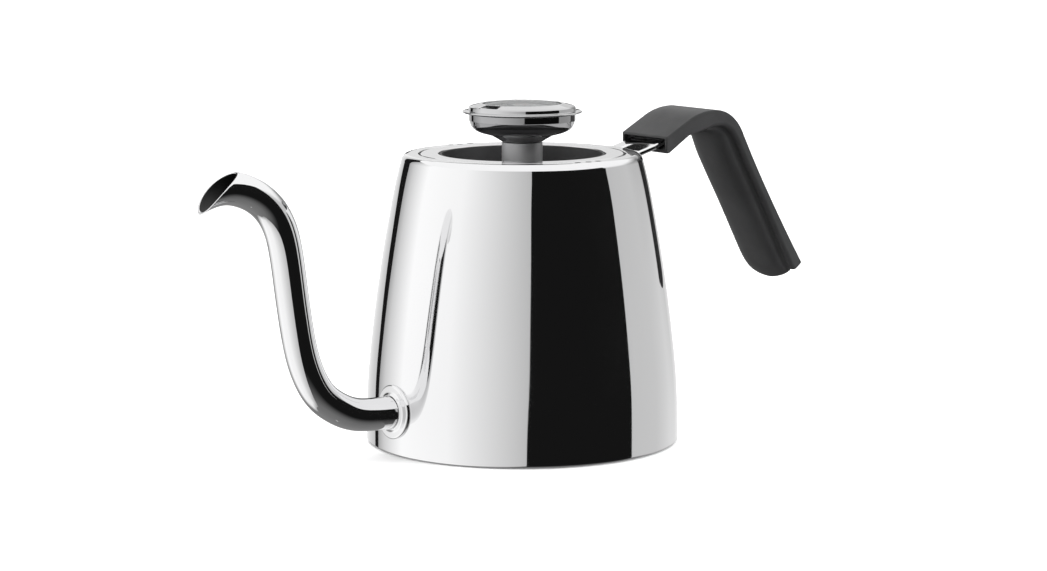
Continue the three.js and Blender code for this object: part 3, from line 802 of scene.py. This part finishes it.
def add_lid_liner():
    radius, bottom, top = turned_size("lid_liner")
    hole = SPIGOT_RADIUS + GAP
    outline = rounded([
        (hole, bottom, 0.2), (radius, bottom, 1.2), (radius, top, 0.2), (radius - SHEET, top, 0.2),
        (radius - SHEET, bottom + SHEET, 0.4), (hole, bottom + SHEET, 0.2),
    ])
    add_piece("lid_cup", turned(outline), SATIN, "lid", ["lid_liner"])


def add_lid_gasket():
    outer, bottom, top = turned_size("lid_gasket")
    inner = turned_size("lid_liner")[0] + 0.1
    root = inner + 0.55
    outline = rounded([
        (inner, bottom), (outer, bottom + 0.4, 0.3), (outer, bottom + 1.2, 0.3), (root, bottom + 1.8, 0.4),
        (root, bottom + 3.2, 0.4), (outer, bottom + 3.8, 0.3), (outer, bottom + 4.6, 0.3), (inner, top),
    ])
    add_piece("lid_seal", turned(outline), SILICONE, "lid", ["lid_gasket"])


# ---- Knob and thermometer ----

SPIGOT_RADIUS = 4.2
PROBE_RADIUS = turned_size("probe_tube")[0]
STEM_RADIUS, SPIGOT_BOTTOM, STEM_TOP = turned_size("knob_stem")
CUP_RADIUS, CUP_BOTTOM, CUP_TOP = turned_size("knob_cup")
RIM_RADIUS, BEZEL_BOTTOM, BEZEL_TOP = turned_size("knob_bezel")
LENS_OUTER, LENS_BOTTOM, LENS_APEX = turned_size("knob_lens")
LENS_RADIUS = LENS_OUTER - 2.6
LENS_RISE = 1.7  # height of the lens's dome
LENS_THICK = 1.6
DIAL_RADIUS, DIAL_BOTTOM, DIAL_TOP = turned_size("dial_face")
DIAL_SEAT = DIAL_RADIUS + 0.5
DIAL_START = 225  # bearing of the 0 mark, in degrees
DIAL_SWEEP = 270
DIAL_MARKS = 55  # steps of two degrees Celsius
MARKS_PER_NUMBER = 10
MARK_REACH = 15.4  # outer end of the marks
NUMBER_CIRCLE = 10.9
NUT_SIDES = 72
NUT_BORE = 4.5
NUT_FLAT = 6.5  # from the axis to a flat
NUT_CORNER = 7.5


def add_stem():
    bore = PROBE_RADIUS + GAP
    step = turned_size("lid_well")[1] + 1.5
    outline = rounded([
        (bore, SPIGOT_BOTTOM, 0.2), (SPIGOT_RADIUS, SPIGOT_BOTTOM, 0.4), (SPIGOT_RADIUS, step, 0.2),
        (STEM_RADIUS, step, 0.35), (STEM_RADIUS, STEM_TOP, 0.3), (bore, STEM_TOP, 0.2),
    ])
    add_piece("stem", turned(outline, KNOB_STEPS), STEM_STEEL, "lid", ["knob_stem"])


def add_cup():
    """The knob's bowl, with a ledge that holds the dial."""
    bore = PROBE_RADIUS + GAP
    under = smooth([
        (8.6, CUP_BOTTOM), (13.5, 126.9), (16.5, 127.7), (18.6, 128.5), (20.0, 129.4), (20.9, 130.4),
        (21.45, 131.6),
    ], 40)
    inside = smooth([
        (19.4, 131.4), (18.4, 130.1), (15.9, 129.0), (12.8, 128.2), (8.2, CUP_BOTTOM + SHEET),
    ], 20)
    ledge = DIAL_BOTTOM - GAP
    outline = rounded([
        (bore, CUP_BOTTOM), *under, (CUP_RADIUS, 133.0, 0.9), (CUP_RADIUS, CUP_TOP, 0.15),
        (DIAL_SEAT, CUP_TOP, 0.15), (DIAL_SEAT, ledge), (17.2, ledge), (17.2, 132.6), *inside,
        (bore, CUP_BOTTOM + SHEET),
    ])
    # The bowl's steel is darkened: painted shade under the knob.
    add_piece("knob_bowl", turned(outline, KNOB_STEPS), SHADED_BOWL_STEEL, "lid", ["knob_cup"])


def add_bezel():
    """A thin flange at the joint with the bowl, a straight band above it, and a flat top."""
    window = LENS_RADIUS + GAP
    outline = rounded([
        (DIAL_SEAT, BEZEL_BOTTOM, 0.15), (CUP_RADIUS, BEZEL_BOTTOM),
        (RIM_RADIUS - 0.3, BEZEL_BOTTOM + 0.1, 0.2), (RIM_RADIUS, BEZEL_BOTTOM + 0.45, 0.25),
        (RIM_RADIUS - 0.3, BEZEL_BOTTOM + 0.8, 0.2),
        (CUP_RADIUS + 0.2, BEZEL_BOTTOM + 0.9, 0.25), (CUP_RADIUS, BEZEL_BOTTOM + 2.5, 0.5),
        (CUP_RADIUS - 0.8, BEZEL_BOTTOM + 2.9, 0.3), (17.6, BEZEL_TOP, 0.6), (window, BEZEL_TOP, 0.25),
        (window, BEZEL_TOP - 1.0), (DIAL_SEAT, BEZEL_TOP - 1.0),
    ], steps=6)
    # The rim's steel is darkened: painted shade.
    add_piece("knob_rim", turned(outline, KNOB_STEPS), SHADED_RIM_STEEL, "lid", ["knob_bezel"])


def dome(apex, edge, radius, steps):
    """Points of a shallow dome from its apex on the axis to its edge."""
    drop = apex - edge
    sphere = (radius * radius + drop * drop) / (2 * drop)
    reaches = [radius * i / steps for i in range(steps + 1)]
    return [Vector((reach, apex - sphere + math.sqrt(sphere * sphere - reach * reach))) for reach in reaches]


def add_lens():
    edge = LENS_APEX - LENS_RISE
    outside = dome(LENS_APEX, edge, LENS_RADIUS, 24)
    inside = dome(LENS_APEX - LENS_THICK, edge - LENS_THICK, LENS_RADIUS - 0.6, 24)
    shelf = [(LENS_RADIUS, LENS_BOTTOM + 1.0), (LENS_OUTER, LENS_BOTTOM + 1.0), (LENS_OUTER, LENS_BOTTOM)]
    mesh = turned([*outside, *shelf, *reversed(inside)], KNOB_STEPS)
    add_piece("lens", mesh, GLASS, "lid", ["knob_lens"])


def add_knob_seals():
    for name, node, inner in (
        ("lens_seal", "lens_gasket", 16.4),
        ("stem_seal", "stem_washer", SPIGOT_RADIUS + GAP),
    ):
        radius, bottom, top = turned_size(node)
        ring = rounded([
            (inner, bottom, 0.15), (radius, bottom, 0.15), (radius, top, 0.15), (inner, top, 0.15),
        ])
        add_piece(name, turned(ring, KNOB_STEPS), SILICONE, "lid", [node])


def add_nut():
    """A hexagonal nut with chamfered corners."""
    low, high = corners("stem_nut")
    rings = []
    for z, inset in ((low.z, 0.7), (low.z + 0.4, 0.0), (high.z - 0.4, 0.0), (high.z, 0.7)):
        ring = []
        for i in range(NUT_SIDES):
            angle = 2 * math.pi * i / NUT_SIDES
            off = (angle + math.pi / 6) % (math.pi / 3) - math.pi / 6  # from the middle of a flat
            reach = min(NUT_FLAT / math.cos(off), NUT_CORNER - inset)
            ring.append(Vector((reach * math.cos(angle), reach * math.sin(angle), z)))
        rings.append(ring)
    rings += [circle(NUT_BORE, z, NUT_SIDES) for z in (high.z, low.z)]
    add_piece("nut", loft(rings, joined=True), STEEL, "lid", ["stem_nut"])


def add_probe():
    radius, bottom, top = turned_size("probe_tube")
    inner = radius - 0.5
    outline = rounded([
        (0, bottom), (radius, bottom, 1.6), (radius, top, 0.15), (inner, top, 0.15),
        (inner, bottom + 2.0, 0.6), (0, bottom + 2.0),
    ], steps=8)
    add_piece("probe", turned(outline, SMALL_STEPS), SATIN, "lid", ["probe_tube"])


def dial_angle(mark):
    return math.radians(DIAL_START - DIAL_SWEEP * mark / DIAL_MARKS)


def add_dial():
    """The dial with raised print: short and long marks, and numbers every twenty degrees."""
    plate = rounded([
        (0.8, DIAL_BOTTOM), (DIAL_RADIUS, DIAL_BOTTOM, 0.1), (DIAL_RADIUS, DIAL_TOP, 0.15), (0.8, DIAL_TOP),
    ])
    add_piece("dial", turned(plate, KNOB_STEPS), ENAMEL, "lid", ["dial_face"])
    marks = bmesh.new()
    for mark in range(DIAL_MARKS + 1):
        long, wide = (2.2, 0.32) if mark % 5 == 0 else (1.2, 0.16)
        bar = bmesh.ops.create_cube(marks, size=1)["verts"]
        out = Matrix.Translation((MARK_REACH - long / 2, 0, DIAL_TOP + 0.03))
        place = Matrix.Rotation(dial_angle(mark), 4, "Z") @ out @ Matrix.Diagonal((long, wide, 0.05, 1))
        bmesh.ops.transform(marks, matrix=place, verts=bar)
    add_piece("dial_marks", marks, DIAL_WHITE, "lid")
    for mark in range(0, DIAL_MARKS, MARKS_PER_NUMBER):
        angle = dial_angle(mark)
        add_number(str(2 * mark), NUMBER_CIRCLE * math.cos(angle), NUMBER_CIRCLE * math.sin(angle))


def add_number(text, x, y):
    """A raised number, centred on a point of the dial."""
    name = f"dial_number_{text}"
    font = bpy.data.curves.new(name, "FONT")
    font.body = text
    font.size = 3.0 * MM
    font.extrude = 0.03 * MM
    font.resolution_u = 4
    font.align_x = "CENTER"
    font.align_y = "CENTER"
    written = bpy.data.objects.new(name, font)
    bpy.context.scene.collection.objects.link(written)
    bpy.context.view_layer.update()
    data = bpy.data.meshes.new_from_object(written.evaluated_get(bpy.context.evaluated_depsgraph_get()))
    bpy.data.objects.remove(written)
    data.transform(Matrix.Translation(Vector((x, y, DIAL_TOP + 0.04)) * MM))
    data.materials.append(DIAL_WHITE)
    number = bpy.data.objects.new(name, data)
    bpy.context.scene.collection.objects.link(number)
    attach(number, "lid")


def add_hub():
    radius, bottom, top = turned_size("pointer_hub")
    outline = rounded([(0, bottom), (radius, bottom, 0.1), (radius, top, 0.4), (0, top)])
    add_piece("hub", turned(outline, SMALL_STEPS), BRASS, "needle", ["pointer_hub"])


def finish_cad_nodes():
    """Procedural finishes for the small inner CAD nodes that stay."""
    finishes = {
        "handle_screw_front": SATIN, "handle_screw_rear": SATIN, "bimetal_coil": SATIN,
        "spindle_bush": BRASS, "pointer_spindle": SATIN, "pointer": POINTER_RED,
    }
    for node, material in finishes.items():
        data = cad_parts[node].data
        data.materials.clear()
        data.materials.append(material)


# ---- Studio ----

CARD_REACH = 1.6  # metres from the origin to the cards
GROUND_REACH = 1.7  # the ground card lies outside the others
CARD_ROW_STEPS = 6
CARD_COLUMN_STEPS = 24
CARD_HIDDEN_FROM = ("camera", "diffuse", "shadow", "transmission", "volume_scatter")
WHITE_LEVEL = 1.06  # brightness of the background and of what the steel reflects between the cards
SOFT_LIGHT_BEHIND = 2.4  # light on matt surfaces from the sides, the back and above
SOFT_LIGHT_IN_FRONT = 0.15
# Reflection cards on a sphere around the kettle: a name, and rows of an elevation and its columns
# of (degrees from the camera's bearing to its right, brightness).
CARDS = [
    ("front_flag", [
        (-28, (-2, 0.009), (84, 0.009)),
        (-22, (0, 0.008), (86, 0.008)),
        (-14.5, (2.5, 0.008), (86, 0.008)),
        (31, (9.8, 0.008), (86, 0.008)),
    ]),
    ("right_card", [
        (-14.5, (86, 0.6), (115, 0.63), (138, 0.8), (150, 0.85)),
        (0, (86, 0.6), (115, 0.63), (138, 0.7), (150, 0.6)),
        (5, (86, 0.6), (115, 0.63), (138, 0.6), (150, 0.25)),
        (20, (86, 0.58), (115, 0.62), (138, 0.35), (150, 0.2)),
        (26, (86, 0.8), (115, 1.0), (138, 0.7), (150, 0.5)),
        (31, (86, 1.0), (115, 1.06), (138, 1.06), (150, 1.0)),
    ]),
    ("right_rise", [
        (-14.5, (150, 0.85), (172, 1.0)),
        (-2, (150, 0.6), (172, 0.9)),
        (3, (150, 0.25), (172, 0.5)),
        (22, (150, 0.2), (172, 0.6)),
        (30, (150, 1.0), (172, 1.06)),
    ]),
    ("back_card", [
        (8.9, (172, 0.72), (188, 0.82)),
        (24, (172, 0.8), (188, 0.9)),
    ]),
    ("back_beam", [
        (26, (-178, 0.02), (-160, 0.02)),
        (36, (-178, 0.02), (-160, 0.02)),
    ]),
    ("horizon", [
        (-10.6, (172, 0.012), (188, 0.012)),
        (8.9, (172, 0.012), (188, 0.012)),
    ]),
    ("left_edge", [
        (-14.5, (-172, 1.0), (-136.5, 0.62)),
        (-3.6, (-172, 1.0), (-138, 0.62)),
        (1.8, (-172, 1.0), (-142, 0.62)),
        (5.4, (-172, 1.0), (-147.5, 0.62)),
        (17.4, (-172, 1.0), (-154, 0.62)),
        (34.5, (-172, 1.0), (-154, 0.62)),
    ]),
    ("back_flag", [
        (-14.5, (-136.5, 0.01), (-130.5, 0.01)),
        (-3.6, (-138, 0.01), (-130.5, 0.01)),
        (1.8, (-142, 0.01), (-130.5, 0.01)),
        (5.4, (-147.5, 0.01), (-131.5, 0.01)),
        (17.4, (-154, 0.01), (-134, 0.01)),
        (34.5, (-154, 0.01), (-134, 0.01)),
    ]),
    ("left_step", [
        (-14.5, (-130.5, 0.42), (-121, 0.7)),
        (1.8, (-130.5, 0.42), (-121, 0.7)),
        (5.4, (-131.5, 0.42), (-121, 0.7)),
        (17.4, (-134, 0.42), (-121, 0.7)),
        (34.5, (-134, 0.42), (-121, 0.7)),
    ]),
    ("left_card", [
        (-67, (-106, 0.3), (-90, 0.5), (-60, 0.5), (-34, 0.22)),
        (-60, (-118, 0.36), (-95, 1.0), (-60, 0.95), (-24, 0.4)),
        (-45, (-126, 0.4), (-105, 1.1), (-55, 1.02), (-12, 0.56)),
        (-28, (-126, 0.45), (-105, 1.12), (-55, 1.04), (-2, 0.55)),
        (-14.5, (-121, 0.7), (-98, 1.12), (-55, 1.05), (2.5, 0.57)),
        (31, (-121, 0.7), (-98, 1.12), (-55, 1.05), (9.8, 0.55)),
    ]),
    ("ground_card", [
        (-89, (-180, 0.2), (-128, 0.2), (-20, 0.2), (80, 0.2), (115, 0.2), (180, 0.2)),
        (-60, (-180, 0.24), (-128, 0.24), (-20, 0.17), (80, 0.16), (115, 0.18), (180, 0.24)),
        (-45, (-180, 0.24), (-128, 0.2), (-20, 0.1), (80, 0.11), (115, 0.2), (180, 0.24)),
        (-35, (-180, 0.28), (-128, 0.26), (-20, 0.05), (80, 0.05), (115, 0.3), (180, 0.28)),
        (-27, (-180, 0.36), (-128, 0.34), (-20, 0.01), (80, 0.012), (115, 0.45), (180, 0.4)),
        (-14, (-180, 0.45), (-128, 0.42), (-20, 0.01), (80, 0.012), (115, 0.6), (180, 0.5)),
    ]),
]


def card_material(name):
    """Glows as brightly as the card's own brightness says at each point."""
    material = bpy.data.materials.new(name)
    material.use_nodes = True
    tree = material.node_tree
    tree.nodes.clear()
    brightness = add_node(tree, "ShaderNodeAttribute", attribute_name="brightness")
    glow = add_node(tree, "ShaderNodeEmission", {"Strength": brightness.outputs["Fac"]})
    output = add_node(tree, "ShaderNodeOutputMaterial")
    tree.links.new(glow.outputs[0], output.inputs["Surface"])
    return material


def filled(stops, steps):
    """The stops, with even steps between each and the next."""
    out = []
    for low, high in zip(stops, stops[1:]):
        out += [low + (high - low) * i / steps for i in range(steps)]
    return [*out, stops[-1]]


def add_card(name, rows):
    """A curved card seen only in reflections."""
    reach = GROUND_REACH if name == "ground_card" else CARD_REACH
    mesh = bmesh.new()
    shade = mesh.verts.layers.float.new("brightness")
    grid = []
    stops = [np.array([(elevation, *column) for column in columns]) for elevation, *columns in rows]
    for row in filled(stops, CARD_ROW_STEPS):
        line = []
        for elevation, bearing, brightness in filled(row, CARD_COLUMN_STEPS):
            turn = math.radians(CAMERA_BEARING + bearing)
            rise = math.radians(elevation)
            flat = reach * math.cos(rise)
            vert = mesh.verts.new((flat * math.cos(turn), flat * math.sin(turn), reach * math.sin(rise)))
            vert[shade] = brightness
            line.append(vert)
        grid.append(line)
    add_faces(mesh, grid, closed_rows=False)
    card = add_object(name, mesh)
    card.data.materials.append(card_material(name))
    for kind in CARD_HIDDEN_FROM:
        setattr(card, f"visible_{kind}", False)


def add_floor():
    """A pale floor that throws less light back up than it seems to."""
    mesh = bmesh.new()
    bmesh.ops.create_grid(mesh, x_segments=8, y_segments=8, size=6.0)
    floor = add_object("floor", mesh)
    material, tree, shader = new_material("pale_floor", (0.9, 0.9, 0.9), 0.7)
    shader.inputs["Specular IOR Level"].default_value = 0.0
    bounce = add_node(tree, "ShaderNodeLightPath").outputs["Is Diffuse Ray"]
    tree.links.new(tint(tree, bounce, (0.9, 0.9, 0.9), (0.35, 0.35, 0.35)), shader.inputs["Base Color"])
    floor.data.materials.append(material)
    floor.visible_glossy = False


def add_light(name, bearing, reach, height, size, power):
    """A soft square light that faces the kettle, at degrees from the camera's bearing to its right."""
    light = bpy.data.objects.new(name, bpy.data.lights.new(name, "AREA"))
    light.data.shape = "SQUARE"
    light.data.size = size
    light.data.energy = power
    angle = math.radians(CAMERA_BEARING + bearing)
    place = Vector((reach * math.cos(angle), reach * math.sin(angle), height))
    light.location = place
    light.rotation_euler = (Vector((0, 0, 0.1)) - place).to_track_quat("-Z", "Y").to_euler()
    light.visible_glossy = False
    light.visible_camera = False
    bpy.context.scene.collection.objects.link(light)


def add_world():
    """White behind the kettle and in its reflections. The soft light on matt surfaces comes from
    the sides, the back and above, and little of it from the camera's side."""
    world = bpy.data.worlds.new("studio")
    world.use_nodes = True
    tree = world.node_tree
    background = tree.nodes["Background"]
    angle = math.radians(CAMERA_BEARING)
    towards = add_node(tree, "ShaderNodeTexCoord").outputs["Generated"]
    front = add_node(
        tree, "ShaderNodeVectorMath", {0: towards, 1: (math.cos(angle), math.sin(angle), 0)},
        operation="DOT_PRODUCT",
    )
    soft = add_node(tree, "ShaderNodeMapRange", {
        "Value": front.outputs["Value"], "From Min": 0.1, "From Max": 0.7,
        "To Min": SOFT_LIGHT_BEHIND, "To Max": SOFT_LIGHT_IN_FRONT,
    })
    path = add_node(tree, "ShaderNodeLightPath")
    seen = add_node(
        tree, "ShaderNodeMath", {0: path.outputs["Is Camera Ray"], 1: path.outputs["Is Glossy Ray"]},
        operation="MAXIMUM",
    )
    strength = add_node(
        tree, "ShaderNodeMix", {0: seen.outputs[0], 2: soft.outputs["Result"], 3: WHITE_LEVEL}
    )
    tree.links.new(strength.outputs[0], background.inputs["Strength"])
    background.inputs["Color"].default_value = (1, 1, 1, 1)
    bpy.context.scene.world = world


def add_studio():
    add_floor()
    add_world()
    for card in CARDS:
        add_card(*card)
    add_light("right_softbox", bearing=66, reach=1.6, height=0.25, size=0.9, power=34)
    add_light("left_softbox", bearing=-95, reach=1.6, height=0.15, size=0.9, power=16)
    view = bpy.context.scene.view_settings
    view.view_transform = "Standard"
    view.look = "None"


add_camera()
add_body()
add_lid_seat()
add_base()
add_spout_tube()
add_spout_flange()
add_bracket()
add_cover()
add_grip()
add_lid_plate()
add_lid_well()
add_lid_liner()
add_lid_gasket()
add_stem()
add_cup()
add_bezel()
add_lens()
add_knob_seals()
add_nut()
add_probe()
add_dial()
add_hub()
finish_cad_nodes()
add_studio()
